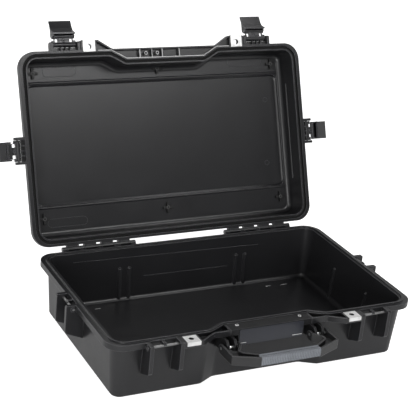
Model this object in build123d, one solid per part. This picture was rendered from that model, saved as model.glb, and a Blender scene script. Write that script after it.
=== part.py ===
from build123d import *
import os
from math import radians, tan

# Hard tool case with a hinged lid, four two-piece latches and a folding handle.
# Millimetres. The case stands on z = 0 and its front faces -Y. The lid is shaped closed
# and then turned open about the hinge line, which is how the case stands at rest.

# Case
rim_width = 520
rim_depth = 316
rim_corner = 28
base_height = 95
lid_height = 46
lid_open_angle = 112.5
wall = 3
floor_thickness = 3.5
body_corner = 21
side_overhang = 11
front_overhang = 9
base_draft = 4
lid_draft = 3
parting = 0.3
bite = 1
bottom_round = 5
base_inner_round = 8
lid_outer_round = 11
lid_inner_round = 9

# Step in the front wall that makes room behind the handle
step_depth = 14.5
step_half_back = 73.5
step_half_front = 100
step_round_front = 18
step_round_back = 10

# Rim, tongue, groove and seal
flange_height = 9
flange_plate = 3.5
skirt = 3
tongue_offset = 2
tongue_width = 2.4
tongue_height = 2.5
groove_width = 5.2
seal_width = 4.8
seal_height = 3

# Front apron with its open cells and the padlock lugs
apron_front = 0.4
apron_half = 96
apron_wall = 2.5
apron_round = 10
base_rim_band = 2.4
lid_rim_band = 6.5
cell_depth = 6.5
lug_front = 16
lug_width = 30
lug_rib_overlap = 0.5
lug_round = 2
cell_wall = 1.8
cell_wall_x = (-47, -25, -6, 26)
cell_boss_x = (-36, -15)
cell_boss_radius = 3
cell_boss_bore = 1.4
cell_boss_sink = 0.5

# Padlock plates
plate_x = 136.8
plate_width = 21.5
plate_thickness = 1.2
plate_back = 3
plate_flap = 6
padlock_hole_radius = 4.25
lug_hole_radius = 4.6
padlock_hole_front = 5.5

# Hinges
hinge_behind_rim = 6.5
hinge_centre_x = 148.5
knuckle_radius = 4.2
hinge_pin_radius = 2
lid_knuckle = 20.5
base_knuckle = 8.5
lid_knuckles = 4
knuckle_gap = 0.5
pin_clearance = 0.05

# Latches, measured from the rim's outer edge at the rim plane
front_latch_x = 177.5
side_latch_y = -0.5
front_latch_width = 38
side_latch_width = 31
latch_side_gap = 2
link_pivot = (-10, 9)
lever_pivot = (-11.5, -5)
link_pin_radius = 1.8
lever_pin_radius = 1.5
link_barrel = 4.2
link_lower_barrel = 3.8
link_thickness = 4
link_shoulder = 7
link_window_width = 5.2
link_window_edge = 1
link_window_end = 4.4
link_boss_radius = 2.6
link_boss_bore = 1.3
link_boss_height = 0.8
link_boss_z = 2.2
lever_cheek = 2.5
lever_cheek_radius = 4.5
lever_cheek_length = 7
lever_cheek_round = 2
lever_reach = 40
side_lever_reach = 47
lever_thickness = 2.7
lever_bend = 13.5
lever_flare = 5
lever_tip = 0.6
claw_reach = 1.4
claw_root = 2
lever_throat = 2.4
barrel_clearance = 0.5
lever_groove_pitch = 2.6
lever_groove_depth = 0.6
cheek_gap = 0.3
fin_thickness = 4.5
front_fin_reach = 14.5
side_fin_reach = 16.5
fin_height = 13.5
pocket_web = 2.5
pocket_web_reach = 5.4
pocket_rib = 1.6
pocket_rib_spacing = 8
fin_edge_round = 2
fin_top_round = 6

# Catches on the base
catch_pin = (-4, -6)
catch_pin_radius = 2
catch_rib_thickness = 6
catch_rib_reach = 15
catch_rib_height = 45
catch_rib_foot = 57
catch_rib_edge = 2
catch_rib_round = 6
catch_notch = 3
catch_clearance = 0.3
saddle_width = 5
saddle_cover = 2
saddle_side = 0.5
catch_boss_radius = 4.2
catch_boss_height = 1.5

# Handle bracket
bracket_half = 69
bracket_plate = 3
bracket_front_half = 56
bracket_front_drop = 28.5
bracket_drop = 35
bracket_inner_lug = 3
bracket_fork_lug = 4
bracket_lug_inset = 6
bracket_lug_clearance = 4
lug_nose = 6
lug_nose_half = 5
lug_slope = 6
lug_heel = 7
bracket_fit = 0.15
bracket_screw_x = 53.7
screw_clearance = 0.4
bracket_screw_radius = 1.8
screw_head_radius = 2.9
screw_head_height = 1.4
screw_head_bevel = 0.6
screw_length = 7
name_plate_thickness = 0.8
name_plate_margin = 1.5
name_plate_round = 1.5

# Handle
handle_pivot_front = 12
handle_pivot_drop = 20.5
handle_top = 6
handle_bottom = 8.5
handle_end = 7
handle_outer_half = 90
handle_inner_half = 60
handle_reach = 51.5
handle_side_length = 35
grip_half = 50
grip_depth = 13
handle_wall = 3
handle_web = 2.5
handle_belly_width = 13
handle_belly_reach = 24.5
handle_neck_length = 7
handle_corner_round = 3
handle_belly_round = 6
handle_hollow_depth = 3.7
handle_pin_radius = 2
grip_core = 6
grip_core_inset = 3
grip_bevel = 2.5
fork_clearance = 14.5

# Inside of the base and of the lid
wall_rib_radius = 4.2
wall_rib_inset = 1.2
wall_rib_drop = 33
wall_rib_bevel = 2.4
wall_rib_sides = 8
back_rib_x = 109
back_rib_spacing = 17
side_rib_y = 49
panel_half_x = 236
panel_front = 107
panel_back = 93
panel_depth = 5
panel_corner = 12
bead_radius = 2.6
bead_sink = 0.8
ledge_height = 26.5
ledge_radius = 1.4
ledge_front = 88
ledge_back = 82
cross_x = (-224, 0, 224)
cross_front = 126
cross_back = 113.5
cross_arm = 8
cross_width = 2
cross_height = 3.5

# Places that follow from the sizes above
half_w = rim_width / 2
half_d = rim_depth / 2
body_half_x = half_w - side_overhang
body_half_y = half_d - front_overhang
lid_face = base_height + parting
hinge_y = half_d + hinge_behind_rim
hinge_z = base_height + parting / 2
hinge_axis = Axis((0, hinge_y, hinge_z), (1, 0, 0))
front_pocket = front_latch_width / 2 + latch_side_gap
lug_half_outer = front_latch_x - front_pocket - catch_rib_thickness + lug_rib_overlap
lug_half_inner = lug_half_outer - lug_width
handle_pivot_y = -half_d - handle_pivot_front
handle_pivot_z = base_height - handle_pivot_drop
bracket_bottom = base_height - bracket_drop
bracket_front_bottom = base_height - bracket_front_drop
bracket_lug_half = handle_outer_half - handle_wall - bracket_lug_clearance + bite
bracket_lugs = (
    (handle_inner_half - bracket_lug_inset, bracket_inner_lug),
    (handle_inner_half + bracket_lug_inset, bracket_fork_lug),
    (handle_outer_half - handle_wall - bracket_lug_clearance - bracket_fork_lug, bracket_fork_lug),
)
shelf_back = body_half_y - step_depth + tongue_offset + base_rim_band
lid_cell_back = body_half_y - step_depth + tongue_offset + lid_rim_band
bracket_screw_y = -lid_cell_back - screw_head_radius - screw_clearance
front_sizes = (front_latch_width, lever_reach, front_fin_reach)
side_sizes = (side_latch_width, side_lever_reach, side_fin_reach)
latch_stations = {
    "front_left": (Pos(-front_latch_x, -half_d, base_height), *front_sizes),
    "front_right": (Pos(front_latch_x, -half_d, base_height), *front_sizes),
    "side_left": (Pos(-half_w, side_latch_y, base_height) * Rot(0, 0, -90), *side_sizes),
    "side_right": (Pos(half_w, side_latch_y, base_height) * Rot(0, 0, 90), *side_sizes),
}


def slab(x0, x1, y0, y1, z0, z1):
    """Box between two corners."""
    return Pos((x0 + x1) / 2, (y0 + y1) / 2, (z0 + z1) / 2) * Box(x1 - x0, y1 - y0, z1 - z0)


def cross_slab(points, half_width, at=0, rounds=()):
    """Outline drawn in Y and Z, given its thickness along X about the place at."""
    face = make_face(Polyline(*points, close=True))
    for index, radius in rounds:
        y, z = points[index]
        face = fillet(face.vertices().sort_by_distance((y, z, 0))[0], radius)
    plane = Plane(origin=(at, 0, 0), x_dir=(0, 1, 0), z_dir=(1, 0, 0))
    return extrude(plane * face, amount=half_width, both=True)


def x_cylinder(radius, length, x, y, z):
    """Cylinder along X with its middle at the given place."""
    return Pos(x, y, z) * Rot(0, 90, 0) * Cylinder(radius, length)


def both_sides(shape):
    """The shape and its mirror image in the case's middle plane."""
    return shape + mirror(shape, Plane.YZ)


def body_outline(grow=0):
    """Outside of the wall at the rim, with the step in its front side, grown all round."""
    x, y = body_half_x, body_half_y
    corners = [
        (-x, -y),
        (-step_half_front, -y),
        (-step_half_back, step_depth - y),
        (step_half_back, step_depth - y),
        (step_half_front, -y),
        (x, -y),
        (x, y),
        (-x, y),
    ]
    face = make_face(Polyline(*corners, close=True))
    face = fillet([v for v in face.vertices() if abs(v.X) > x - 1], body_corner)
    for half, radius in ((step_half_front, step_round_front), (step_half_back, step_round_back)):
        step = [v for v in face.vertices() if v.Y < 0 and abs(abs(v.X) - half) < 0.01]
        face = fillet(step, radius)
    return offset(face, grow) if grow else face


def rim_outline():
    """Outer edge of the flange, before the apron is added."""
    return RectangleRounded(rim_width, rim_depth, rim_corner)


def apron_outline():
    """Front apron that runs out to a padlock lug at each end."""
    front = -half_d - apron_front
    tip = -half_d - lug_front
    corners = [
        (-lug_half_outer, -half_d + lug_round),
        (-lug_half_outer, tip),
        (-lug_half_inner, tip),
        (-apron_half, front),
        (apron_half, front),
        (lug_half_inner, tip),
        (lug_half_outer, tip),
        (lug_half_outer, -half_d + lug_round),
    ]
    face = make_face(Polyline(*corners, close=True))
    face = fillet([v for v in face.vertices() if v.Y < tip + 0.01], lug_round)
    bends = [v for v in face.vertices() if abs(abs(v.X) - apron_half) < 0.01]
    return fillet(bends, apron_round)


def cell_area(rim_band):
    """Ground plan of the open cells between the apron's wall and a band outside the tongue."""
    inside = offset(rim_outline() + apron_outline(), -apron_wall)
    reach = lug_half_inner + apron_wall
    window = Pos(0, -half_d) * Rectangle(2 * reach, 4 * step_depth)
    return (inside & window) - body_outline(tongue_offset + rim_band)


def plate_seat(z, sign):
    """Shallow seat for a padlock plate on the rim face at z, cut towards sign, and its hole."""
    seat = slab(
        plate_x - plate_width / 2,
        plate_x + plate_width / 2,
        -half_d - 2 * lug_front,
        -half_d + plate_back,
        min(z, z + sign * plate_thickness),
        max(z, z + sign * plate_thickness),
    )
    y = -half_d - padlock_hole_front
    hole = Pos(plate_x, y, z) * Cylinder(lug_hole_radius, 4 * flange_height)
    return both_sides(seat + hole)


def padlock_plate(x, z, sign):
    """Steel plate on a lug, folded over the lug's front edge, with the shackle's hole."""
    tip = -half_d - lug_front
    top = slab(
        x - plate_width / 2,
        x + plate_width / 2,
        tip - plate_thickness,
        -half_d + plate_back,
        min(z, z + sign * plate_thickness),
        max(z, z + sign * plate_thickness),
    )
    flap = slab(
        x - plate_width / 2,
        x + plate_width / 2,
        tip - plate_thickness,
        tip,
        min(z, z + sign * plate_flap),
        max(z, z + sign * plate_flap),
    )
    hole = Pos(x, -half_d - padlock_hole_front, z) * Cylinder(padlock_hole_radius, flange_height)
    return top + flap - hole


def knuckle_row():
    """Middles of one hinge's knuckles along X as (place, length, on_lid)."""
    row = []
    count = 2 * lid_knuckles + 1
    pitch = (base_knuckle + lid_knuckle) / 2 + knuckle_gap
    for i in range(count):
        on_lid = i % 2 == 1
        row.append(((i - (count - 1) / 2) * pitch, lid_knuckle if on_lid else base_knuckle, on_lid))
    return row


def hinge_length():
    """Length of one hinge over its end knuckles."""
    return knuckle_row()[-1][0] * 2 + base_knuckle


def knuckles(on_lid):
    """All hinge knuckles of one shell, with their webs to the flange."""
    face = lid_face if on_lid else base_height
    rise = 1 if on_lid else -1
    web = [
        (half_d - bite, face),
        (hinge_y, face),
        (hinge_y, hinge_z + rise * knuckle_radius),
        (half_d - bite, face + rise * flange_height),
    ]
    bore = hinge_pin_radius + pin_clearance
    parts = []
    for place, length, lid_side in knuckle_row():
        if lid_side == on_lid:
            x = hinge_centre_x + place
            barrel = x_cylinder(knuckle_radius, length, x, hinge_y, hinge_z)
            parts.append(barrel + cross_slab(web, length / 2, x))
    drill = x_cylinder(bore, 2 * hinge_length(), hinge_centre_x, hinge_y, hinge_z)
    return both_sides(Compound(parts) - drill)


def catch_ribs(width):
    """Pair of protecting ribs of one catch, in the latch's own axes."""
    pocket = width / 2 + latch_side_gap
    profile = [
        (side_overhang + wall, 0),
        (-catch_rib_reach, 0),
        (-catch_rib_reach, -catch_rib_height),
        (side_overhang + wall, -catch_rib_foot),
    ]
    half = catch_rib_thickness / 2
    rib = cross_slab(profile, half, pocket + half, rounds=((1, catch_rib_edge), (2, catch_rib_round)))
    boss_x = pocket + catch_rib_thickness + catch_boss_height / 2
    rib += x_cylinder(catch_boss_radius, catch_boss_height, boss_x, *catch_pin)
    return rib + mirror(rib, Plane.YZ)


def catch_notch_block(width):
    """Solid stretch of flange behind a catch, and the saddle that holds the pin's middle."""
    pocket = width / 2 + latch_side_gap
    block = slab(-pocket, pocket, catch_notch, side_overhang, -flange_height, 0)
    y, z = catch_pin
    nose = y - catch_pin_radius - saddle_side
    saddle = [
        (catch_notch + bite, -bite),
        (y, z + catch_pin_radius + saddle_cover),
        (nose, z + catch_pin_radius),
        (nose, z),
        (catch_notch + bite, z),
    ]
    return block + cross_slab(saddle, saddle_width / 2)


def catch_notch_cut(width):
    """Gap in the flange's edge between the ribs."""
    pocket = width / 2 + latch_side_gap
    return slab(-pocket, pocket, -bite, catch_notch, -flange_height - bite, bite)


def catch_pin_length(width):
    """Length of a catch pin over both ribs and their bosses."""
    return width + 2 * (latch_side_gap + catch_rib_thickness + catch_boss_height)


def wall_ribs():
    """Eight-sided upright ribs with bevelled tops along the inside of the base."""
    foot = wall + base_height * tan(radians(base_draft)) - wall_rib_inset
    height = base_height - wall_rib_drop
    post = extrude(RegularPolygon(wall_rib_radius, wall_rib_sides), height)
    post = chamfer(post.faces().sort_by(Axis.Z)[-1].edges(), wall_rib_bevel)
    ribs = []
    for side in (-1, 1):
        for turn in (-1, 1):
            x = side * back_rib_x + turn * back_rib_spacing / 2
            ribs.append(Pos(x, body_half_y - foot, 0) * Rot(-base_draft, 0, 0) * post)
            place = Pos(side * (body_half_x - foot), turn * side_rib_y, 0)
            ribs.append(place * Rot(0, side * base_draft, 0) * post)
    return Compound(ribs)


def base_body():
    """Solid outer form of the base, without its flange."""
    face = Pos(0, 0, base_height) * body_outline()
    body = extrude(face, base_height, dir=(0, 0, -1), taper=base_draft)
    return fillet(body.faces().sort_by(Axis.Z)[0].edges(), bottom_round)


def base_cavity():
    """Space inside the base."""
    face = Pos(0, 0, base_height) * body_outline(-wall)
    cavity = extrude(face, base_height - floor_thickness, dir=(0, 0, -1), taper=base_draft)
    return fillet(cavity.faces().sort_by(Axis.Z)[0].edges(), base_inner_round)


def base_flange():
    """Flange with its turned-down skirt, apron, cells and the bracket's seat."""
    outline = rim_outline() + apron_outline()
    top = Pos(0, 0, base_height)
    flange = extrude(top * outline, flange_height, dir=(0, 0, -1))
    channel = offset(rim_outline(), -skirt) - body_outline()
    channel -= Pos(0, -half_d) * Rectangle(2 * (lug_half_outer + skirt), 4 * step_depth)
    low = Pos(0, 0, base_height - flange_height)
    flange -= extrude(low * channel, flange_height - flange_plate)
    reach = 2 * lug_half_outer
    cells = cell_area(base_rim_band)
    sides = cells - Rectangle(2 * bracket_half + 2 * apron_wall, reach * 2)
    flange -= extrude(top * sides, cell_depth, dir=(0, 0, -1))
    flange -= slab(
        -bracket_half,
        bracket_half,
        -half_d - lug_front,
        -shelf_back,
        base_height - bracket_plate,
        base_height + bite,
    )
    bottom = base_height - flange_height - bite
    front = -half_d - apron_front + bracket_plate
    flange -= slab(-bracket_half, bracket_half, -half_d - lug_front, front, bottom, base_height)
    return flange


def base_shell():
    """Moulded base: tub, flange, tongue, catches, padlock lugs and hinge knuckles."""
    cavity = base_cavity()
    shell = base_body() + base_flange() + knuckles(False)
    for station, width, *_ in latch_stations.values():
        shell -= station * catch_notch_cut(width)
        shell += station * (catch_ribs(width) + catch_notch_block(width))
        drill = x_cylinder(catch_pin_radius + pin_clearance, 2 * width, 0, *catch_pin)
        shell -= station * drill
    shell -= cavity
    half = tongue_width / 2
    ring = body_outline(tongue_offset + half) - body_outline(tongue_offset - half)
    shell += extrude(Pos(0, 0, base_height) * ring, tongue_height)
    shell += wall_ribs() & cavity
    shell -= plate_seat(base_height, -1)
    for x in (-bracket_screw_x, bracket_screw_x):
        drill = Cylinder(bracket_screw_radius, 2 * screw_length)
        shell -= Pos(x, bracket_screw_y, base_height) * drill
    return shell


def bracket_lug(inner, thickness):
    """One upright lug of the bracket, from its spine out towards the handle's pin."""
    back = step_depth - body_half_y + wall
    ledge = base_height - flange_height - bracket_fit
    outside = inner > bracket_front_half
    end = handle_pivot_y - lug_nose if outside else -half_d - apron_front + bracket_plate
    profile = [
        (back, bracket_bottom),
        (end + lug_slope, handle_pivot_z - lug_heel),
        (end, handle_pivot_z - lug_nose_half),
        (end, handle_pivot_z + lug_nose_half),
        (end + lug_slope, ledge),
        (back, ledge),
    ]
    return cross_slab(profile, thickness / 2, inner + thickness / 2)


def handle_bracket():
    """Bracket that clasps the base's front ledge and carries the handle's pin lugs."""
    front = -half_d - apron_front
    face_back = front + bracket_plate - bracket_fit
    lip = base_height - flange_height
    ledge = lip - bracket_fit
    wall_y = step_depth - body_half_y
    back = wall_y + wall
    half = bracket_half - bracket_fit
    shelf_y = -shelf_back - bracket_fit
    bracket = slab(-half, half, front, shelf_y, base_height - bracket_plate, base_height)
    bracket += slab(-half, half, front, face_back, lip, base_height)
    half = bracket_front_half
    bracket += slab(-half, half, front, face_back, bracket_front_bottom, base_height)
    half = bracket_lug_half
    bracket += slab(-half, half, face_back, back, ledge - bracket_plate, ledge)
    bracket += slab(-half, half, wall_y - bracket_plate, back, bracket_bottom, ledge)
    for inner, thickness in bracket_lugs:
        bracket += both_sides(bracket_lug(inner, thickness))
    bracket -= base_body()
    bore = handle_pin_radius + pin_clearance
    bracket -= x_cylinder(bore, 2 * rim_width, 0, handle_pivot_y, handle_pivot_z)
    for x in (-bracket_screw_x, bracket_screw_x):
        hole = Cylinder(bracket_screw_radius + pin_clearance, 2 * screw_length)
        bracket -= Pos(x, bracket_screw_y, base_height) * hole
    return bracket


def bracket_screws():
    """Two round-headed screws through the bracket's top plate."""
    head = Pos(0, 0, screw_head_height / 2) * Cylinder(screw_head_radius, screw_head_height)
    head = chamfer(head.edges().sort_by(Axis.Z)[-1], screw_head_bevel)
    shank = Cylinder(bracket_screw_radius - pin_clearance, screw_length)
    screw = head + Pos(0, 0, -screw_length / 2) * shank
    places = (-bracket_screw_x, bracket_screw_x)
    return Compound([Pos(x, bracket_screw_y, base_height) * screw for x in places])


def name_plate():
    """Bare plate on the bracket's front face."""
    width = 2 * (bracket_front_half - name_plate_margin)
    height = base_height - bracket_front_bottom - 2 * name_plate_margin
    face = RectangleRounded(width, height, name_plate_round)
    middle = (base_height + bracket_front_bottom) / 2
    plane = Plane(origin=(0, -half_d - apron_front, middle), x_dir=(1, 0, 0), z_dir=(0, -1, 0))
    return extrude(plane * face, name_plate_thickness)


def lid_body(shrink, height, round_radius):
    """Tapered block of the lid from its rim up, with a rounded top edge."""
    face = Pos(0, 0, lid_face) * body_outline(-shrink)
    block = extrude(face, height, taper=lid_draft)
    return fillet(block.faces().sort_by(Axis.Z)[-1].edges(), round_radius)


def lid_panel(grow, z0, z1):
    """Block of the raised middle panel, which runs nearly from side to side."""
    centre = (panel_back - panel_front) / 2
    depth = panel_front + panel_back
    face = RectangleRounded(2 * (panel_half_x + grow), depth + 2 * grow, panel_corner)
    return extrude(Pos(0, centre, z0) * face, z1 - z0, taper=2 * lid_draft)


def lid_inside():
    """Beads, side ledges, cross-shaped bosses and pads inside the lid."""
    ceiling = lid_face + lid_height - wall
    parts = []
    for y in (-panel_front - bead_radius, panel_back + bead_radius):
        parts.append(x_cylinder(bead_radius, 2 * panel_half_x, 0, y, ceiling + bead_sink))
    length = ledge_front + ledge_back
    x = body_half_x - wall - ledge_height * tan(radians(lid_draft))
    for side in (-1, 1):
        rod = Rot(90, 0, 0) * Cylinder(ledge_radius, length)
        parts.append(Pos(side * x, (ledge_back - ledge_front) / 2, lid_face + ledge_height) * rod)
    arms = Box(2 * cross_arm, cross_width, cross_height)
    arms += Box(cross_width, 2 * cross_arm, cross_height)
    for x in cross_x:
        for y in (-cross_front, cross_back):
            parts.append(Pos(x, y, ceiling - cross_height / 2) * arms)
    return Compound(parts)


def latch_fins(width, reach):
    """Pair of lugs on the lid that carry one latch's pivot pin, and the ribbed web between them."""
    pocket = width / 2 + latch_side_gap
    back = side_overhang + wall
    profile = [(back, parting), (-reach, parting), (-reach, fin_height), (back, fin_height)]
    half = fin_thickness / 2
    rounds = ((1, fin_edge_round), (2, fin_top_round))
    fins = both_sides(cross_slab(profile, half, pocket + half, rounds=rounds))
    top = parting + flange_height
    fins += slab(-pocket, pocket, -pocket_web_reach, bite, top - pocket_web, top)
    for x in (-pocket_rib_spacing, 0, pocket_rib_spacing):
        half = pocket_rib / 2
        fins += slab(x - half, x + half, -pocket_web_reach, bite, parting, top)
    return fins


def lid_shell():
    """Moulded lid: shell, flange, seal groove, cells, padlock lugs, latch fins and knuckles."""
    cavity = lid_body(wall, lid_height - wall, lid_inner_round)
    ceiling = lid_face + lid_height - wall
    cavity += lid_panel(0, ceiling - bite, ceiling + panel_depth)
    top = lid_face + lid_height
    shell = lid_body(0, lid_height, lid_outer_round)
    shell += lid_panel(wall, top - bite, top + panel_depth)
    shell += extrude(Pos(0, 0, lid_face) * (rim_outline() + apron_outline()), flange_height)
    cells = extrude(Pos(0, 0, lid_face) * cell_area(lid_rim_band), cell_depth)
    half = cell_wall / 2
    for x in cell_wall_x:
        cells -= slab(x - half, x + half, -2 * half_d, 0, lid_face, top)
    shell -= cells
    cell_front = half_d + apron_front - apron_wall
    boss_y = -(cell_front + lid_cell_back) / 2
    for x in cell_boss_x:
        ring = Cylinder(cell_boss_radius, cell_depth) - Cylinder(cell_boss_bore, cell_depth)
        shell += Pos(x, boss_y, lid_face + cell_depth / 2 + cell_boss_sink) * ring
    for station, width, _, reach in latch_stations.values():
        shell += station * latch_fins(width, reach)
        shell -= station * x_cylinder(link_pin_radius + pin_clearance, 2 * width, 0, *link_pivot)
    shell += knuckles(True)
    shell -= cavity
    shell += lid_inside() & cavity
    half = groove_width / 2
    groove = body_outline(tongue_offset + half) - body_outline(tongue_offset - half)
    shell -= extrude(Pos(0, 0, lid_face) * groove, tongue_height + seal_height)
    return shell - plate_seat(lid_face, 1)


def lid_seal():
    """Rubber ring that fills the bottom of the lid's groove."""
    half = seal_width / 2
    ring = body_outline(tongue_offset + half) - body_outline(tongue_offset - half)
    return extrude(Pos(0, 0, lid_face + tongue_height) * ring, seal_height)


def latch_link(width):
    """Link that swings on the lid's fins and carries the lever, closed, in the latch's axes."""
    y0, z0 = link_pivot
    y1, z1 = lever_pivot
    pocket = width / 2 + latch_side_gap
    half_full = pocket - latch_side_gap / 4
    half_arm = width / 2 - lever_cheek - cheek_gap
    t = link_thickness / 2
    link = x_cylinder(link_barrel, 2 * half_full, 0, y0, z0)
    link += slab(-half_full, half_full, y0 - t, y0 + t, z0 - link_shoulder, z0)
    arm = [(y0 - t, z0), (y1 - t, z1), (y1 + t, z1), (y0 + t, z0)]
    link += cross_slab(arm, half_arm)
    link += x_cylinder(link_lower_barrel, 2 * half_arm, 0, y1, z1)
    low, high = z1 + link_window_end, z0 - link_window_end
    outer = half_arm - link_window_edge
    inner = outer - link_window_width
    window = slab(inner, outer, y0 - link_thickness, y0 + link_thickness, low, high)
    link -= both_sides(window)
    plane = Plane(origin=(0, y0 + t + link_boss_height, link_boss_z), z_dir=(0, -1, 0))
    ring = Circle(link_boss_radius) - Circle(link_boss_bore)
    link += extrude(plane * ring, link_boss_height + t)
    link -= x_cylinder(link_pin_radius + pin_clearance, 2 * width, 0, y0, z0)
    return link - x_cylinder(lever_pin_radius + pin_clearance, 2 * width, 0, y1, z1)


def latch_lever(width, reach):
    """Lever with its claw, closed and latched, in the latch's axes."""
    y1, z1 = lever_pivot
    pin_y, pin_z = catch_pin
    inner = y1 - lever_cheek_radius
    outer = inner - lever_thickness
    bend = z1 - lever_bend
    tip = link_pivot[1] - reach
    claw = pin_z - catch_pin_radius - catch_clearance
    claw_end = pin_y + claw_reach
    plate = [(inner, z1), (outer, z1), (outer, bend)]
    grooves = int((bend - tip) / lever_groove_pitch)
    for i in range(grooves, 0, -1):
        top = tip + i * lever_groove_pitch
        share = (bend - top) / (bend - tip)
        y = outer - lever_flare * share
        notch = top - lever_groove_pitch / 2
        plate += [(y, top), (y + lever_groove_depth, notch)]
    plate += [
        (outer - lever_flare, tip),
        (outer - lever_flare + lever_thickness, tip - lever_tip),
        (inner, bend - lever_tip),
        (y1 + lever_throat, claw - lever_thickness),
        (claw_end, claw - lever_thickness),
        (claw_end, claw),
        (pin_y - claw_root, claw),
        (y1, z1 - lever_cheek_radius),
    ]
    lever = cross_slab(plate, width / 2)
    lever -= x_cylinder(link_lower_barrel + barrel_clearance, width + bite, 0, y1, z1)
    cheek = [
        (outer, z1),
        (y1, z1 + lever_cheek_radius),
        (y1 + lever_cheek_radius, z1),
        (y1 + lever_cheek_radius, z1 - lever_cheek_length),
        (outer, bend),
    ]
    rounds = ((1, lever_cheek_round), (2, lever_cheek_round))
    place = (width - lever_cheek) / 2
    lever += both_sides(cross_slab(cheek, lever_cheek / 2, place, rounds=rounds))
    return lever - x_cylinder(lever_pin_radius + pin_clearance, 2 * width, 0, y1, z1)


def handle_outline():
    """Ground plan of the handle about its pivot line, as its outline and its opening."""
    end = handle_end
    front = -handle_reach
    half = handle_outer_half
    outer = Polyline(
        (-half, end),
        (-half, -handle_side_length),
        (-grip_half, front),
        (grip_half, front),
        (half, -handle_side_length),
        (half, end),
        close=True,
    )
    half = handle_inner_half
    bar = front + grip_depth
    belly = half + handle_belly_width
    inner = Polyline(
        (-half, end + bite),
        (-half, -handle_neck_length),
        (-belly, -handle_belly_reach),
        (-grip_half, bar),
        (grip_half, bar),
        (belly, -handle_belly_reach),
        (half, -handle_neck_length),
        (half, end + bite),
        close=True,
    )
    outer = make_face(outer)
    outer = fillet([v for v in outer.vertices() if v.Y < 0], handle_corner_round)
    inner = make_face(inner)
    bends = [v for v in inner.vertices() if v.Y < 0 and abs(v.X) > grip_half + bite]
    return outer, fillet(bends, handle_belly_round)


def handle_frame():
    """Moulded channel-section handle, straight out from the case, about its pivot line."""
    outer, inner = handle_outline()
    height = handle_top + handle_bottom
    low = Pos(0, 0, -handle_bottom)
    frame = extrude(low * (outer - inner), height)
    hollow = offset(outer, -handle_wall) - offset(inner, handle_wall)
    hollow -= Pos(0, -handle_reach) * Rectangle(2 * grip_half, 2 * grip_depth)
    frame -= extrude(low * hollow, handle_hollow_depth)
    frame -= extrude(Pos(0, 0, -handle_bottom + handle_hollow_depth + handle_web) * hollow, height)
    forks = Pos(0, handle_end / 2) * Rectangle(2 * handle_outer_half, handle_end + 2 * fork_clearance)
    frame -= extrude(Pos(0, 0, -height) * (hollow & forks), 2 * height)
    x0 = handle_inner_half + handle_wall
    x1 = handle_outer_half - handle_wall
    frame -= both_sides(slab(x0, x1, 0, handle_end + bite, -height, height))
    profile = [
        (handle_end, -handle_bottom),
        (handle_end, handle_top),
        (-handle_reach, handle_top),
        (-handle_reach, -handle_bottom),
    ]
    frame &= cross_slab(profile, handle_outer_half, rounds=((0, handle_end), (1, handle_top)))
    zone = Box(2 * grip_half, 3 * grip_depth, 2 * height)
    frame -= Pos(0, -handle_reach + grip_depth / 2, 0) * zone
    frame += grip_core_bar(0)
    bore = x_cylinder(handle_pin_radius + pin_clearance, 3 * handle_outer_half, 0, 0, 0)
    return frame - bore


def grip_core_bar(extra):
    """Flat bar that joins the handle's two arms inside the grip."""
    back = -handle_reach + (grip_depth + grip_core) / 2
    front = back - grip_core
    return slab(
        -grip_half - extra,
        grip_half + extra,
        front,
        back,
        -handle_bottom + grip_core_inset,
        handle_top - grip_core_inset,
    )


def handle_grip():
    """Soft grip moulded round the bar, with bevelled long edges."""
    front = -handle_reach
    back = front + grip_depth
    b = grip_bevel
    profile = [
        (front, -handle_bottom + b),
        (front, handle_top - b),
        (front + b, handle_top),
        (back - b, handle_top),
        (back, handle_top - b),
        (back, -handle_bottom + b),
        (back - b, -handle_bottom),
        (front + b, -handle_bottom),
    ]
    return cross_slab(profile, grip_half) - grip_core_bar(bite)


def pin(radius, length):
    """Plain round pin along X about the origin."""
    return Rot(0, 90, 0) * Cylinder(radius, length)


def open_lid(shape):
    """Turn a piece of the closed lid to the lid's open position."""
    return shape.rotate(hinge_axis, -lid_open_angle)


def open_latch(shape):
    """Swing a latch piece from latched to straight out from the rim."""
    y, z = link_pivot
    return shape.rotate(Axis((0, y, z), (1, 0, 0)), -90)


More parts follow.
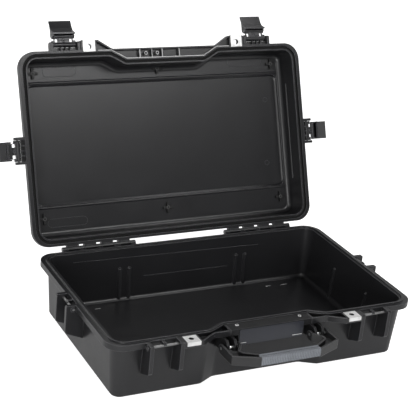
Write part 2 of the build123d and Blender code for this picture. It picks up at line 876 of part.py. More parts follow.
def build_nodes():
    """Every piece at rest, by name."""
    nodes = {
        "base_shell": base_shell(),
        "handle_bracket": handle_bracket(),
        "bracket_screws": bracket_screws(),
        "name_plate": name_plate(),
        "lid_shell": open_lid(lid_shell()),
        "lid_seal": open_lid(lid_seal()),
    }
    for side, x in (("left", -1), ("right", 1)):
        base_plate = padlock_plate(x * plate_x, base_height, -1)
        lid_plate = padlock_plate(x * plate_x, lid_face, 1)
        nodes["base_padlock_plate_" + side] = base_plate
        nodes["lid_padlock_plate_" + side] = open_lid(lid_plate)
        rod = pin(hinge_pin_radius, hinge_length())
        nodes["hinge_pin_" + side] = Pos(x * hinge_centre_x, hinge_y, hinge_z) * rod
        reach = handle_outer_half - handle_inner_half
        rod = pin(handle_pin_radius, reach)
        middle = x * (handle_outer_half + handle_inner_half) / 2
        nodes["handle_pin_" + side] = Pos(middle, handle_pivot_y, handle_pivot_z) * rod
    pivot = Pos(0, handle_pivot_y, handle_pivot_z)
    nodes["handle_frame"] = pivot * handle_frame()
    nodes["handle_grip"] = pivot * handle_grip()
    for name, (station, width, reach, _) in latch_stations.items():
        fin_span = width + 2 * (latch_side_gap + fin_thickness)
        link = latch_link(width)
        lever = latch_lever(width, reach)
        link_rod = Pos(0, *link_pivot) * pin(link_pin_radius, fin_span)
        lever_rod = Pos(0, *lever_pivot) * pin(lever_pin_radius, width)
        catch_rod = Pos(0, *catch_pin) * pin(catch_pin_radius, catch_pin_length(width))
        nodes["latch_link_" + name] = open_lid(station * open_latch(link))
        nodes["latch_lever_" + name] = open_lid(station * open_latch(lever))
        nodes["link_pin_" + name] = open_lid(station * link_rod)
        nodes["lever_pin_" + name] = open_lid(station * open_latch(lever_rod))
        nodes["catch_pin_" + name] = station * catch_rod
    return nodes


if __name__ == "__main__":
    os.makedirs("parts", exist_ok=True)
    for name, shape in build_nodes().items():
        export_step(shape, "parts/" + name + ".step")
        print(name, len(shape.solids()), round(shape.volume))
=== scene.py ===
import bpy
import bmesh
import math
from mathutils import Matrix, Vector


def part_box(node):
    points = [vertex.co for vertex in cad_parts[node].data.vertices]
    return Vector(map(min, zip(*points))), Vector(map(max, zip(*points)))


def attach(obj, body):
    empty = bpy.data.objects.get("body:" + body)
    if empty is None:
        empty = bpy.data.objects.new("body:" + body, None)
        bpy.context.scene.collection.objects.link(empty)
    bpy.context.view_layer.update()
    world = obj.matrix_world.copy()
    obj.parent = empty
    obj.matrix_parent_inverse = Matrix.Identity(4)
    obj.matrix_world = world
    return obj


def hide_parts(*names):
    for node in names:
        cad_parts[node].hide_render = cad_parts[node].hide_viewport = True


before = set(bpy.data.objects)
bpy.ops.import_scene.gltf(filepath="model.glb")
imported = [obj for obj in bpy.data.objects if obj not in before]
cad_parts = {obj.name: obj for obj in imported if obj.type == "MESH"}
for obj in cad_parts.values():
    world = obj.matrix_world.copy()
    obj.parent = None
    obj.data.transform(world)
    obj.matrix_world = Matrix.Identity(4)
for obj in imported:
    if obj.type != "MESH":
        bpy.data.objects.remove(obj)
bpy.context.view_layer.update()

# Sizes are in metres, places on the lid are those of the closed lid, and ridges are (width, height)

# How deep a piece stands in what carries it
SINK = 0.0003

# Hinge line and inner surfaces of the two shells
HINGE_Y, HINGE_Z = 0.1645, 0.09515
LID_OPEN = math.radians(112.5)
LID_CEILING, PANEL_CEILING = 0.1383, 0.1433
FLOOR_TOP = 0.0035
WALL_TOP, WALL_BACK, WALL_LEAN = 0.095, 0.146, math.radians(4)

# Outlined ovals inside the lid as (x, y, half length, half width), and round marks as (x, y)
LID_OVALS = [
    (-0.177, -0.1275, 0.029, 0.008),
    (0.172, -0.1315, 0.034, 0.008),
    (-0.1835, 0.1215, 0.035, 0.007),
]
LID_DOTS = [(0.212, -0.0626), (0.206, 0.0507)]
DOT_RADIUS = 0.0042
OVAL_RIDGE, DOT_RIDGE = (0.0012, 0.00025), (0.001, 0.0002)

# Lips of the lid's front cells: left half of the path (x, y), dividers (x, width) and small rings
LID_FACE, CELL_FRONT = 0.0953, -0.1559
LIP_PATH = [(-0.1215, -0.1566), (-0.0981, -0.1566), (-0.0714, -0.142)]
LIP_DIVIDERS = [(-0.047, 0.0022), (-0.025, 0.0013), (-0.006, 0.0022), (0.026, 0.002)]
CELL_RING_X, CELL_RING_Y, CELL_RING_RADIUS = (-0.036, -0.015), -0.1495, 0.0024
LIP_RIDGE, CELL_RING_RIDGE, DIVIDER_HEIGHT = (0.0018, 0.00012), (0.0013, 0.0001), 0.0001

# Dark plus blocks of painted shadow and rings on the lid's six crosses, the middle front block cut
# short by the lid's wall
CROSS_X, CROSS_Y, CROSS_HEIGHT = (-0.224, 0, 0.224), (-0.126, 0.1135), 0.0035
SHADOW_REACH, SHADOW_HALF_WIDTH, SHADOW_RISE = 0.009, 0.0021, 0.0002
MIDDLE_SHADOW_FRONT = -0.1284
CROSS_RING_RADIUS, CROSS_RING_RIDGE, CROSS_RING_SINK = 0.0026, (0.0013, 0.0004), 0.001

# Edge of the lid's deeper middle panel, and the sloping foot of the step round it
PANEL_HALF_X, PANEL_FRONT, PANEL_BACK = 0.236, -0.107, 0.093
PANEL_CORNER, PANEL_CORNER_STEPS = 0.012, 6
FOOT_WIDTH, FOOT_RISE = 0.0036, 0.0026

# Dashes on the base's floor as (x0, x1, y), and flow lines on its back wall as (x0, z0, x1, z1)
FLOOR_DASHES = [(-0.1675, -0.1575, 0.120), (0.1535, 0.1635, 0.1195), (0.1827, 0.1955, 0.118)]
WALL_LINES = [(-0.200, 0.0799, 0.1425, 0.0746), (-0.0739, 0.0421, 0.0844, 0.0413)]
DASH_RIDGE, WALL_RIDGE = (0.0016, 0.0004), (0.0012, 0.00015)

# Ribs round the grip, with each flat's start and end as shares of the pitch, and its top groove
RIB_PITCH, RIB_DEPTH, RIB_START, RIB_END = 0.0028, 0.0006, 0.25, 0.75
GRIP_CORNER, GRIP_CORNER_STEPS = 0.0025, 3
TOP_GROOVE_WIDTH, TOP_GROOVE_DEPTH, TOP_GROOVE_FLOOR_SHARE = 0.0034, 0.0014, 0.6

# Thin lines on the name plate as (x0, x1), and their height above its lower edge
PLATE_LINES = [(-0.0535, -0.042), (0.037, 0.0535)]
PLATE_LINE_UP, PLATE_LINE_RIDGE, PLATE_LINE_SINK = 0.0035, (0.0014, 0.00008), 0.0001

# Painted shade of the cross recesses of the bracket's screws
SCREW_HEAD_RADIUS = 0.0029
RECESS_REACH, RECESS_HALF_WIDTH, RECESS_TURN = 0.0017, 0.0004, 0.4
RECESS_LIFT, RECESS_DEPTH = 0.00003, 0.0004

# Camera fitted to the photo: angles in radians, focal length in its pixels, sensor in millimetres
CAMERA_PLACE = (-0.876739, -1.526599, 0.934173)
CAMERA_HEADING, CAMERA_TILT, CAMERA_ROLL = 0.5, 0.389, 0.105
FOCAL_PIXELS, PHOTO_PIXELS, SENSOR_WIDTH = 1223.8, 416, 36
CLIP_NEAR, CLIP_FAR = 0.05, 50

# Lamps as (name, place, target, (width, height), watts)
LAMPS = [
    ("lid_sheen", (0.68, -1.4, 1.57), (0, 0.2, 0.25), (1.0, 0.4), 12),
    ("front_left", (-1.5, -1.9, 1.7), (0, 0, 0.15), (1.4, 1.0), 14),
    ("front_low", (-1.3, -2.2, 0.5), (0, 0, 0.06), (1.2, 0.6), 27),
    ("back", (-0.6, 2.2, 1.8), (0, 0, 0.2), (3.2, 1.8), 37),
    ("left", (-2.2, -0.3, 1.0), (0, 0, 0.1), (1.6, 1.4), 5),
    ("right", (2.2, -0.8, 0.9), (0, 0, 0.1), (1.4, 1.2), 5),
    ("over", (0.9, 0.25, 2.1), (0, 0.2, 0.17), (1.1, 0.3), 5),
]

# Level of the world's light, and of the room that reflections see from the front to the back
WORLD_LEVEL = 0.04
ROOM_FRONT, ROOM_BACK, ROOM_TURN = 0.08, 0.48, (-0.2, 0.6)

# White floor: its size, its surface, and its glow to the camera and in reflections
FLOOR_HALF, FLOOR_DROP = 6.0, 0.0005
FLOOR_TONES, FLOOR_ROUGHNESS = (0.86, 0.88), 0.9
FLOOR_GLOW, FLOOR_SHEEN = 0.85, 0.2

# Rounded edges: radii, and how far the rounded normal leans where a painted edge highlight starts and
# is full
RUBBER_EDGE, STEEL_EDGE, EDGE_SAMPLES = 0.0006, 0.0003, 6
EDGE_START, EDGE_FULL = 0.02, 0.25

# Painted shade in crevices: its reach, and the share of open surroundings where the painted shade is
# full and starts
PLASTIC_SHADE_REACH, RUBBER_SHADE_REACH, SHADE_SAMPLES = 0.014, 0.0025, 8
SHADE_FULL, SHADE_START = 0.25, 0.85

# Tone drift and steel stains: where the noise gives the darker and the lighter colour
TONE_STOPS, STAIN_STOPS, LIGHT_TONE = (0.3, 0.7), (0.25, 0.6), 1.12


def new_material(name):
    """Material with an empty Principled shader and a node for the object's coordinates."""
    mat = bpy.data.materials.new(name)
    mat.use_nodes = True
    tree = mat.node_tree
    tree.nodes.clear()
    out = tree.nodes.new("ShaderNodeOutputMaterial")
    bsdf = tree.nodes.new("ShaderNodeBsdfPrincipled")
    tree.links.new(bsdf.outputs[0], out.inputs[0])
    coords = tree.nodes.new("ShaderNodeTexCoord")
    return mat, tree, bsdf, coords


def grey(level):
    """Neutral colour of one level."""
    return (level, level, level)


def shade(colour, factor):
    """A colour made darker or lighter, up to white."""
    return tuple(min(1.0, c * factor) for c in colour)


def noise(tree, coords, scale, detail, rough=0.5, stretch=None):
    """Noise in the object's own coordinates, stretched along one way if asked."""
    node = tree.nodes.new("ShaderNodeTexNoise")
    node.inputs["Scale"].default_value = scale
    node.inputs["Detail"].default_value = detail
    node.inputs["Roughness"].default_value = rough
    source = coords.outputs["Object"]
    if stretch:
        mapping = tree.nodes.new("ShaderNodeMapping")
        mapping.inputs["Scale"].default_value = stretch
        tree.links.new(source, mapping.inputs["Vector"])
        source = mapping.outputs["Vector"]
    tree.links.new(source, node.inputs["Vector"])
    return node.outputs[0]


def ramp(tree, value, places, colours):
    """Two colours, blended as the value goes from one place to the other."""
    node = tree.nodes.new("ShaderNodeValToRGB")
    for element, place, colour in zip(node.color_ramp.elements, places, colours):
        element.position = place
        element.color = (*colour, 1)
    tree.links.new(value, node.inputs[0])
    return node.outputs[0]


def spread(tree, value, low, high, start=0.3, end=0.7):
    """Number from low to high, as the value goes from start to end."""
    node = tree.nodes.new("ShaderNodeMapRange")
    for key, number in zip(("From Min", "From Max", "To Min", "To Max"), (start, end, low, high)):
        node.inputs[key].default_value = number
    tree.links.new(value, node.inputs["Value"])
    return node.outputs[0]


def rounded_normal(tree, radius):
    """Normal of the surface as if its edges were rounded."""
    node = tree.nodes.new("ShaderNodeBevel")
    node.samples = EDGE_SAMPLES
    node.inputs["Radius"].default_value = radius
    return node.outputs[0]


def edge_mask(tree, rounded):
    """0 on flat surface, 1 on edges, from how far the rounded normal leans from the true one."""
    geometry = tree.nodes.new("ShaderNodeNewGeometry")
    dot = tree.nodes.new("ShaderNodeVectorMath")
    dot.operation = "DOT_PRODUCT"
    tree.links.new(rounded, dot.inputs[0])
    tree.links.new(geometry.outputs["Normal"], dot.inputs[1])
    return spread(tree, dot.outputs["Value"], 0, 1, 1 - EDGE_START, 1 - EDGE_FULL)


def painted_shade_factor(tree, distance, low):
    """Factor for painted shade: 1 on open surface, down to low in crevices narrower than the distance.
    """
    node = tree.nodes.new("ShaderNodeAmbientOcclusion")
    node.samples = SHADE_SAMPLES
    node.inputs["Distance"].default_value = distance
    return spread(tree, node.outputs["AO"], low, 1.0, SHADE_FULL, SHADE_START)


def pick(tree, switch, off, on):
    """One number where the switch is 0 and another where it is 1."""
    node = tree.nodes.new("ShaderNodeMix")
    tree.links.new(switch, node.inputs[0])
    for socket, source in ((2, off), (3, on)):
        if isinstance(source, float):
            node.inputs[socket].default_value = source
        else:
            tree.links.new(source, node.inputs[socket])
    return node.outputs[0]


def mix(tree, factor, off, on):
    """One colour where the factor is 0, blended to another where it is 1."""
    node = tree.nodes.new("ShaderNodeMix")
    node.data_type = "RGBA"
    tree.links.new(factor, node.inputs[0])
    for socket, source in ((6, off), (7, on)):
        if isinstance(source, tuple):
            node.inputs[socket].default_value = (*source, 1)
        else:
            tree.links.new(source, node.inputs[socket])
    return node.outputs[2]


def bump(tree, height, normal, distance, strength):
    """Fine relief on top of a normal."""
    node = tree.nodes.new("ShaderNodeBump")
    node.inputs["Strength"].default_value = strength
    node.inputs["Distance"].default_value = distance
    tree.links.new(height, node.inputs["Height"])
    tree.links.new(normal, node.inputs["Normal"])
    return node.outputs[0]


def drift_and_edge_highlight(tree, drift, colour, edge_highlight, rounded, darken):
    """Colour that drifts slowly from darker to lighter, with painted highlights on its edges."""
    tones = (shade(colour, darken), shade(colour, LIGHT_TONE))
    base = ramp(tree, drift, TONE_STOPS, tones)
    # Painted highlight: the colour lightened on rounded edges
    return mix(tree, edge_mask(tree, rounded), base, shade(colour, edge_highlight))


def plastic(name, colour, edge_highlight, rough=(0.3, 0.4), round_to=0.0009, grain=1400, depth=0.00004,
            crevice_shade=True, gloss=0.5):
    """Moulded plastic: fine grain, slow tone drift, painted highlights on rounded edges and painted
    shade in crevices.
    """
    mat, tree, bsdf, coords = new_material(name)
    bsdf.inputs["Specular IOR Level"].default_value = gloss
    rounded = rounded_normal(tree, round_to)
    drift = noise(tree, coords, scale=14, detail=3)
    tone = drift_and_edge_highlight(tree, drift, colour, edge_highlight, rounded, darken=0.88)
    # Painted shade: black mixed into the colour in crevices
    if crevice_shade:
        tone = mix(tree, painted_shade_factor(tree, PLASTIC_SHADE_REACH, low=0.2), (0, 0, 0), tone)
    tree.links.new(tone, bsdf.inputs["Base Color"])
    blotch = noise(tree, coords, scale=60, detail=4)
    tree.links.new(spread(tree, blotch, *rough), bsdf.inputs["Roughness"])
    fine = noise(tree, coords, scale=grain, detail=2)
    tree.links.new(bump(tree, fine, rounded, depth, strength=0.6), bsdf.inputs["Normal"])
    return mat


def rubber(name, colour, edge_highlight=1.0, rough=(0.6, 0.8), grain=900, depth=0.00005, gloss=0.5):
    """Soft rubber: matt grain, painted highlights on edges and painted shade in grooves."""
    mat, tree, bsdf, coords = new_material(name)
    bsdf.inputs["Specular IOR Level"].default_value = gloss
    rounded = rounded_normal(tree, RUBBER_EDGE)
    drift = noise(tree, coords, scale=40, detail=3)
    tone = drift_and_edge_highlight(tree, drift, colour, edge_highlight, rounded, darken=0.85)
    # Painted shade: black mixed into the colour in narrow grooves
    tone = mix(tree, painted_shade_factor(tree, RUBBER_SHADE_REACH, low=0.3), (0, 0, 0), tone)
    tree.links.new(tone, bsdf.inputs["Base Color"])
    fine = noise(tree, coords, scale=grain, detail=3)
    tree.links.new(spread(tree, fine, *rough), bsdf.inputs["Roughness"])
    tree.links.new(bump(tree, fine, rounded, depth, strength=0.6), bsdf.inputs["Normal"])
    return mat


def metal(name, colour, rough, stretch=(40, 1200, 1200), metallic=1.0, depth=0.00001):
    """Drawn or rolled steel with fine lines along one way and slight stains."""
    mat, tree, bsdf, coords = new_material(name)
    bsdf.inputs["Metallic"].default_value = metallic
    stain = noise(tree, coords, scale=90, detail=4)
    base = ramp(tree, stain, STAIN_STOPS, (shade(colour, 0.8), colour))
    tree.links.new(base, bsdf.inputs["Base Color"])
    lines = noise(tree, coords, scale=1.0, detail=3, rough=0.6, stretch=stretch)
    tree.links.new(spread(tree, lines, *rough), bsdf.inputs["Roughness"])
    rounded = rounded_normal(tree, STEEL_EDGE)
    tree.links.new(bump(tree, lines, rounded, depth, strength=0.5), bsdf.inputs["Normal"])
    return mat


# Black plastics of the shells, latches, bracket, handle and name plate, with painted highlights on
# their edges, and the painted shadow on the crosses
shell = plastic("shell_plastic", (0.0165, 0.0165, 0.018), edge_highlight=8.0, rough=(0.28, 0.32), round_to=0.0013)
latch = plastic("latch_plastic", (0.022, 0.022, 0.024), edge_highlight=11.0, rough=(0.2, 0.28), round_to=0.001)
bracket = plastic("bracket_plastic", (0.014, 0.014, 0.015), edge_highlight=9.0, rough=(0.45, 0.6), gloss=0.25)
handle = plastic("handle_plastic", (0.021, 0.021, 0.022), edge_highlight=8.0, round_to=0.0012)
plate = plastic(
    "plate_plastic", (0.026, 0.028, 0.036), edge_highlight=3.0, round_to=0.0004, grain=2600, depth=0.00002)
cross_shadow = plastic("cross_shadow_plastic", grey(0.004), edge_highlight=4.0, rough=(0.5, 0.6), round_to=0.0005)

# Pale colours: painted highlights on the cells' lips, the crosses' rings and the floor's dashes, and
# the name plate's lines
lip_highlight = plastic("lip_highlight_plastic", grey(0.6), edge_highlight=1.2, crevice_shade=False)
paint = plastic("line_paint", grey(0.75), edge_highlight=1.1, crevice_shade=False)
ring_highlight = plastic("ring_highlight_plastic", grey(0.09), edge_highlight=2.0, crevice_shade=False)
dash_highlight = plastic("dash_highlight_plastic", grey(0.4), edge_highlight=1.2, crevice_shade=False)

# Rubber of the grip and the seal: painted highlights on the grip's edges, and painted shade in the
# grooves of both
grip = rubber("grip_rubber", (0.19, 0.203, 0.225), edge_highlight=1.8, rough=(0.45, 0.6))
seal = rubber("seal_rubber", grey(0.01), gloss=0.2)

# Steel of the padlock plates, pins and screws, and the painted shade of the screws' cross recesses
plate_steel = metal(
    "plate_steel", (0.92, 0.92, 0.91), rough=(0.34, 0.46), stretch=(900, 60, 900), metallic=0.45)
pin_steel = metal("pin_steel", grey(0.3), rough=(0.45, 0.55))
screw_steel = metal("screw_steel", grey(0.85), rough=(0.25, 0.35))
recess_shade = metal("recess_shade", grey(0.08), rough=(0.5, 0.7))

# Materials of the CAD pieces that don't go by their kind
material_of = {
    "base_shell": shell,
    "lid_shell": shell,
    "lid_seal": seal,
    "handle_bracket": bracket,
    "bracket_screws": screw_steel,
    "name_plate": plate,
    "handle_frame": handle,
    "handle_grip": grip,
}


def cad_material(name):
    """Material of a CAD piece, by its own name or by its kind."""
    if name in material_of:
        return material_of[name]
    if "padlock_plate" in name:
        return plate_steel
    if "handle_pin" in name:
        return screw_steel
    return pin_steel if "pin" in name else latch


# Every slot of a CAD piece takes the piece's material
for name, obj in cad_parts.items():
    materials = obj.data.materials
    if not materials:
        materials.append(cad_material(name))
    for i in range(len(materials)):
        materials[i] = cad_material(name)


def lid_point(x, y, z):
    """Where a point of the closed lid stands when the lid is open."""
    dy, dz = y - HINGE_Y, z - HINGE_Z
    c, s = math.cos(LID_OPEN), math.sin(LID_OPEN)
    return Vector((x, HINGE_Y + dy * c + dz * s, HINGE_Z - dy * s + dz * c))


# Direction out of the lid's inside: down on the closed lid, forward and up on the open one
lid_normal = lid_point(0, 0, -1) - lid_point(0, 0, 0)


def add_object(name, data):
    """New object in the scene."""
    obj = bpy.data.objects.new(name, data)
    bpy.context.scene.collection.objects.link(obj)
    return obj


def add_piece(name, bm, material, body):
    """Mesh piece that rides on one body."""
    bmesh.ops.recalc_face_normals(bm, faces=bm.faces)
    mesh = bpy.data.meshes.new(name)
    bm.to_mesh(mesh)
    bm.free()
    mesh.materials.append(material)
    obj = add_object(name, mesh)
    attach(obj, body)
    return obj


def ridge(bm, path, normal, width, height, sink=SINK, closed=False):
    """Low bead with sloping sides along a path on a flat surface."""
    section = ((-0.5, -sink), (-0.25, height), (0.25, height), (0.5, -sink))
    rings = []
    count = len(path)
    for i, point in enumerate(path):
        before = path[i - 1] if closed or i else point
        after = path[(i + 1) % count] if closed or i + 1 < count else point
        across = (after - before).cross(normal).normalized()
        rings.append([bm.verts.new(point + across * width * u + normal * v) for u, v in section])
    for i in range(count if closed else count - 1):
        a, b = rings[i], rings[(i + 1) % count]
        for k in range(4):
            bm.faces.new((a[k], a[(k + 1) % 4], b[(k + 1) % 4], b[k]))
    if not closed:
        bm.faces.new(rings[0])
        bm.faces.new(rings[-1])


def join_rings(bm, rings, loop=False):
    """Skin between closed rings of points, with end faces unless the rings form a loop."""
    made = [[bm.verts.new(point) for point in points] for points in rings]
    pairs = list(zip(made, made[1:]))
    if loop:
        pairs.append((made[-1], made[0]))
    else:
        bm.faces.new(made[0])
        bm.faces.new(made[-1])
    for a, b in pairs:
        for k in range(len(a)):
            bm.faces.new((a[k - 1], a[k], b[k], b[k - 1]))


def stadium(x, y, half_length, half_width, steps=10):
    """Closed outline with round ends, as (x, y) points."""
    points = []
    for side in (1, -1):
        for i in range(steps + 1):
            turn = math.pi * (i / steps - 0.5)
            u = side * (half_length - half_width + half_width * math.cos(turn))
            points.append((x + u, y + side * half_width * math.sin(turn)))
    return points


def circle(x, y, radius, gap=0.00001):
    """Round outline of two half circles, whose ends stay a hair apart."""
    return stadium(x, y, radius, radius - gap)


def plus_outline(x, y, reach, half_width, turn=0.0):
    """Corners of a plus shape, as (x, y) points."""
    points = []
    for k in range(4):
        c, s = math.cos(k * math.pi / 2 + turn), math.sin(k * math.pi / 2 + turn)
        for u, v in ((reach, -half_width), (reach, half_width), (half_width, half_width)):
            points.append((x + u * c - v * s, y + u * s + v * c))
    return points


def corner_arc(x, y, radius, quarter, steps):
    """Points of a quarter circle that starts at the given quarter turn."""
    turns = [math.pi / 2 * (quarter + i / steps) for i in range(steps + 1)]
    return [(x + radius * math.cos(turn), y + radius * math.sin(turn)) for turn in turns]


def add_lid_marks():
    """Faint moulded outlines and round marks inside the lid."""
    bm = bmesh.new()
    for oval in LID_OVALS:
        path = [lid_point(x, y, LID_CEILING) for x, y in stadium(*oval)]
        ridge(bm, path, lid_normal, *OVAL_RIDGE, closed=True)
    for dot in LID_DOTS:
        path = [lid_point(x, y, PANEL_CEILING) for x, y in circle(*dot, DOT_RADIUS)]
        ridge(bm, path, lid_normal, *DOT_RIDGE, closed=True)
    add_piece("lid_marks", bm, shell, "lid")


def add_lid_lips():
    """Painted highlights on the edges of the lid's open cells, its dividers and its two small rings.
    """
    bm = bmesh.new()
    path = LIP_PATH + [(-x, y) for x, y in reversed(LIP_PATH)]
    ridge(bm, [lid_point(x, y, LID_FACE) for x, y in path], lid_normal, *LIP_RIDGE)
    for x, width in LIP_DIVIDERS:
        ends = [lid_point(x, y, LID_FACE) for y in (LIP_PATH[-1][1], CELL_FRONT)]
        ridge(bm, ends, lid_normal, width, DIVIDER_HEIGHT)
    for centre in CELL_RING_X:
        outline = circle(centre, CELL_RING_Y, CELL_RING_RADIUS)
        path = [lid_point(x, y, LID_FACE) for x, y in outline]
        ridge(bm, path, lid_normal, *CELL_RING_RIDGE, closed=True)
    add_piece("lid_cell_lips", bm, lip_highlight, "lid")


def add_lid_crosses():
    """Rings with painted highlights, and dark plus blocks of painted shadow, on the lid's crosses."""
    rings, shadows = bmesh.new(), bmesh.new()
    top = LID_CEILING - CROSS_HEIGHT
    for x in CROSS_X:
        for y in CROSS_Y:
            # Ring with a painted highlight on the cross's top
            path = [lid_point(u, v, top) for u, v in circle(x, y, CROSS_RING_RADIUS)]
            ridge(rings, path, lid_normal, *CROSS_RING_RIDGE, sink=CROSS_RING_SINK, closed=True)
            # Painted shadow: a dark plus block round and over the cross
            plus = plus_outline(x, y, SHADOW_REACH, SHADOW_HALF_WIDTH)
            if x == 0:
                plus = [(u, max(v, MIDDLE_SHADOW_FRONT)) for u, v in plus]
            levels = (LID_CEILING + SINK, top - SHADOW_RISE)
            join_rings(shadows, [[lid_point(u, v, z) for u, v in plus] for z in levels])
    add_piece("lid_cross_rings", rings, ring_highlight, "lid")
    add_piece("lid_cross_shadows", shadows, cross_shadow, "lid")


def panel_outline(inset):
    """Edge of the lid's deeper middle panel, as (x, y) points."""
    points = []
    corners = ((1, PANEL_BACK), (-1, PANEL_BACK), (-1, PANEL_FRONT), (1, PANEL_FRONT))
    for quarter, (side, edge) in enumerate(corners):
        x = side * (PANEL_HALF_X - PANEL_CORNER)
        y = edge - math.copysign(PANEL_CORNER, edge)
        points += corner_arc(x, y, PANEL_CORNER - inset, quarter, PANEL_CORNER_STEPS)
    return points


def add_panel_ramp():
    """Sloping foot of the step round the lid's deeper panel."""
    sections = []
    sunk = PANEL_CEILING + SINK
    for (x, y), (u, v) in zip(panel_outline(-SINK), panel_outline(FOOT_WIDTH)):
        top = lid_point(x, y, PANEL_CEILING - FOOT_RISE)
        sections.append((top, lid_point(x, y, sunk), lid_point(u, v, sunk)))
    bm = bmesh.new()
    join_rings(bm, sections, loop=True)
    add_piece("panel_ramp", bm, shell, "lid")


def add_floor_dashes():
    """Short raised dashes on the base's floor, with painted highlights."""
    bm = bmesh.new()
    for x0, x1, y in FLOOR_DASHES:
        ends = [Vector((x, y, FLOOR_TOP)) for x in (x0, x1)]
        ridge(bm, ends, Vector((0, 0, 1)), *DASH_RIDGE)
    add_piece("floor_dashes", bm, dash_highlight, "base")


def wall_point(x, z):
    """Point on the leaning inner face of the base's back wall."""
    return Vector((x, WALL_BACK - (WALL_TOP - z) * math.tan(WALL_LEAN), z))


def add_wall_lines():
    """Faint flow lines on the base's back wall."""
    inward = Vector((0, -math.cos(WALL_LEAN), math.sin(WALL_LEAN)))
    bm = bmesh.new()
    for x0, z0, x1, z1 in WALL_LINES:
        ridge(bm, [wall_point(x0, z0), wall_point(x1, z1)], inward, *WALL_RIDGE)
    add_piece("wall_lines", bm, shell, "base")


def grip_outline(half_y, half_z):
    """Rounded section of the grip with a groove along its top, as (y, z) points."""
    points = []
    for quarter, (side_y, side_z) in enumerate(((1, 1), (-1, 1), (-1, -1), (1, -1))):
        y, z = side_y * (half_y - GRIP_CORNER), side_z * (half_z - GRIP_CORNER)
        points += corner_arc(y, z, GRIP_CORNER, quarter, GRIP_CORNER_STEPS)
        if quarter == 0:
            share = TOP_GROOVE_FLOOR_SHARE
            for u, drop in ((1, 0), (share, 1), (-share, 1), (-1, 0)):
                points.append((u * TOP_GROOVE_WIDTH / 2, half_z - drop * TOP_GROOVE_DEPTH))
    return points


def add_grip():
    """Grip with fine ribs round it, in place of the plain one."""
    low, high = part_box("handle_grip")
    middle, half = (low + high) / 2, (high - low) / 2
    count = round(2 * half.x / RIB_PITCH)
    rib = [(RIB_START, 0.0), (RIB_END, 0.0), (1.0, RIB_DEPTH)]
    places = [(0.0, RIB_DEPTH)] + [(i + share, inset) for i in range(count) for share, inset in rib]
    rings = []
    for share, inset in places:
        x = low.x + share * 2 * half.x / count
        outline = grip_outline(half.y - inset, half.z - inset)
        rings.append([(x, middle.y + u, middle.z + v) for u, v in outline])
    bm = bmesh.new()
    join_rings(bm, rings)
    piece = add_piece("ribbed_grip", bm, grip, "handle")
    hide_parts("handle_grip")


def add_plate_lines():
    """Thin pale lines on the name plate, on either side of its bare middle."""
    low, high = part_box("name_plate")
    z = low.z + PLATE_LINE_UP
    bm = bmesh.new()
    for line in PLATE_LINES:
        ends = [Vector((x, low.y, z)) for x in line]
        ridge(bm, ends, Vector((0, -1, 0)), *PLATE_LINE_RIDGE, sink=PLATE_LINE_SINK)
    add_piece("plate_lines", bm, paint, "base")


def add_screw_crosses():
    """Painted shade of the screws' cross recesses, as dark crosses let into their heads."""
    low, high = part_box("bracket_screws")
    y = (low.y + high.y) / 2
    top = high.z + RECESS_LIFT
    bm = bmesh.new()
    for x in (low.x + SCREW_HEAD_RADIUS, high.x - SCREW_HEAD_RADIUS):
        plus = plus_outline(x, y, RECESS_REACH, RECESS_HALF_WIDTH, turn=RECESS_TURN)
        join_rings(bm, [[(u, v, z) for u, v in plus] for z in (top, top - RECESS_DEPTH)])
    add_piece("screw_crosses", bm, recess_shade, "base")


def add_camera():
    """Camera of the photo, turned by its heading, then down by its tilt, then rolled."""
    heading, tilt, roll = CAMERA_HEADING, CAMERA_TILT, CAMERA_ROLL
    level = math.cos(tilt)
    forward = Vector((math.sin(heading) * level, math.cos(heading) * level, -math.sin(tilt)))
    right = Vector((math.cos(heading), -math.sin(heading), 0))
    up = right.cross(forward)
    across = right * math.cos(roll) + up * math.sin(roll)
    over = up * math.cos(roll) - right * math.sin(roll)
    data = bpy.data.cameras.new("camera")
    data.sensor_width = SENSOR_WIDTH
    data.lens = FOCAL_PIXELS / PHOTO_PIXELS * SENSOR_WIDTH
    data.clip_start, data.clip_end = CLIP_NEAR, CLIP_FAR
    camera = add_object("camera", data)
    turn = Matrix((across, over, -forward)).transposed().to_4x4()
    camera.matrix_world = Matrix.Translation(CAMERA_PLACE) @ turn
    bpy.context.scene.camera = camera


def add_lamp(name, place, target, size, power):
    """Rectangular lamp that faces its target."""
    data = bpy.data.lights.new(name, "AREA")
    data.shape = "RECTANGLE"
    data.size, data.size_y = size
    data.energy = power
    lamp = add_object(name, data)
    lamp.location = place
    lamp.rotation_mode = "QUATERNION"
    lamp.rotation_quaternion = (Vector(target) - Vector(place)).to_track_quat("-Z", "Y")


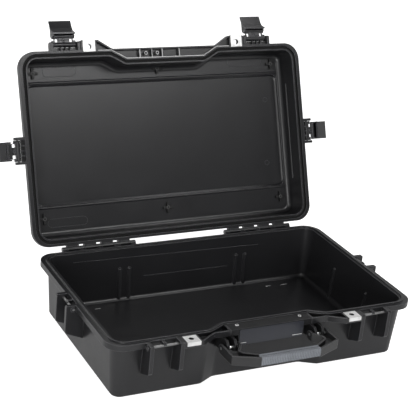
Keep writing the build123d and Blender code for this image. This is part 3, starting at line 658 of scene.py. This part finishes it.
def add_world():
    """White to the camera. Reflections see white behind the case and a dimmer room in front."""
    world = bpy.data.worlds.new("studio")
    bpy.context.scene.world = world
    world.use_nodes = True
    tree = world.node_tree
    tree.nodes.clear()
    out = tree.nodes.new("ShaderNodeOutputWorld")
    coords = tree.nodes.new("ShaderNodeTexCoord")
    split = tree.nodes.new("ShaderNodeSeparateXYZ")
    tree.links.new(coords.outputs["Generated"], split.inputs[0])
    room = spread(tree, split.outputs["Y"], ROOM_FRONT, ROOM_BACK, *ROOM_TURN)
    path = tree.nodes.new("ShaderNodeLightPath")
    level = pick(tree, path.outputs["Is Glossy Ray"], WORLD_LEVEL, room)
    level = pick(tree, path.outputs["Is Camera Ray"], level, 1.0)
    level = pick(tree, path.outputs["Is Transmission Ray"], level, 1.0)
    sky = tree.nodes.new("ShaderNodeBackground")
    sky.inputs["Color"].default_value = (1, 1, 1, 1)
    tree.links.new(level, sky.inputs["Strength"])
    tree.links.new(sky.outputs[0], out.inputs[0])


def add_floor():
    """White floor that fades into the background and keeps the case's shadow."""
    mat, tree, bsdf, coords = new_material("floor")
    speck = noise(tree, coords, scale=30, detail=3)
    pale = ramp(tree, speck, TONE_STOPS, [grey(tone) for tone in FLOOR_TONES])
    tree.links.new(pale, bsdf.inputs["Base Color"])
    bsdf.inputs["Roughness"].default_value = FLOOR_ROUGHNESS
    bsdf.inputs["Emission Color"].default_value = (1, 1, 1, 1)
    path = tree.nodes.new("ShaderNodeLightPath")
    glow = pick(tree, path.outputs["Is Glossy Ray"], 0.0, FLOOR_SHEEN)
    glow = pick(tree, path.outputs["Is Camera Ray"], glow, FLOOR_GLOW)
    tree.links.new(glow, bsdf.inputs["Emission Strength"])
    mesh = bpy.data.meshes.new("floor")
    corners = [(x * FLOOR_HALF, y * FLOOR_HALF, 0) for x, y in ((-1, -1), (1, -1), (1, 1), (-1, 1))]
    mesh.from_pydata(corners, [], [(0, 1, 2, 3)])
    mesh.materials.append(mat)
    floor = add_object("floor", mesh)
    floor.location.z = -FLOOR_DROP


add_lid_marks()
add_lid_lips()
add_lid_crosses()
add_panel_ramp()
add_floor_dashes()
add_wall_lines()
add_grip()
add_plate_lines()
add_screw_crosses()
add_camera()
add_world()
add_floor()
for lamp in LAMPS:
    add_lamp(*lamp)

bpy.context.scene.view_settings.view_transform = "Standard"
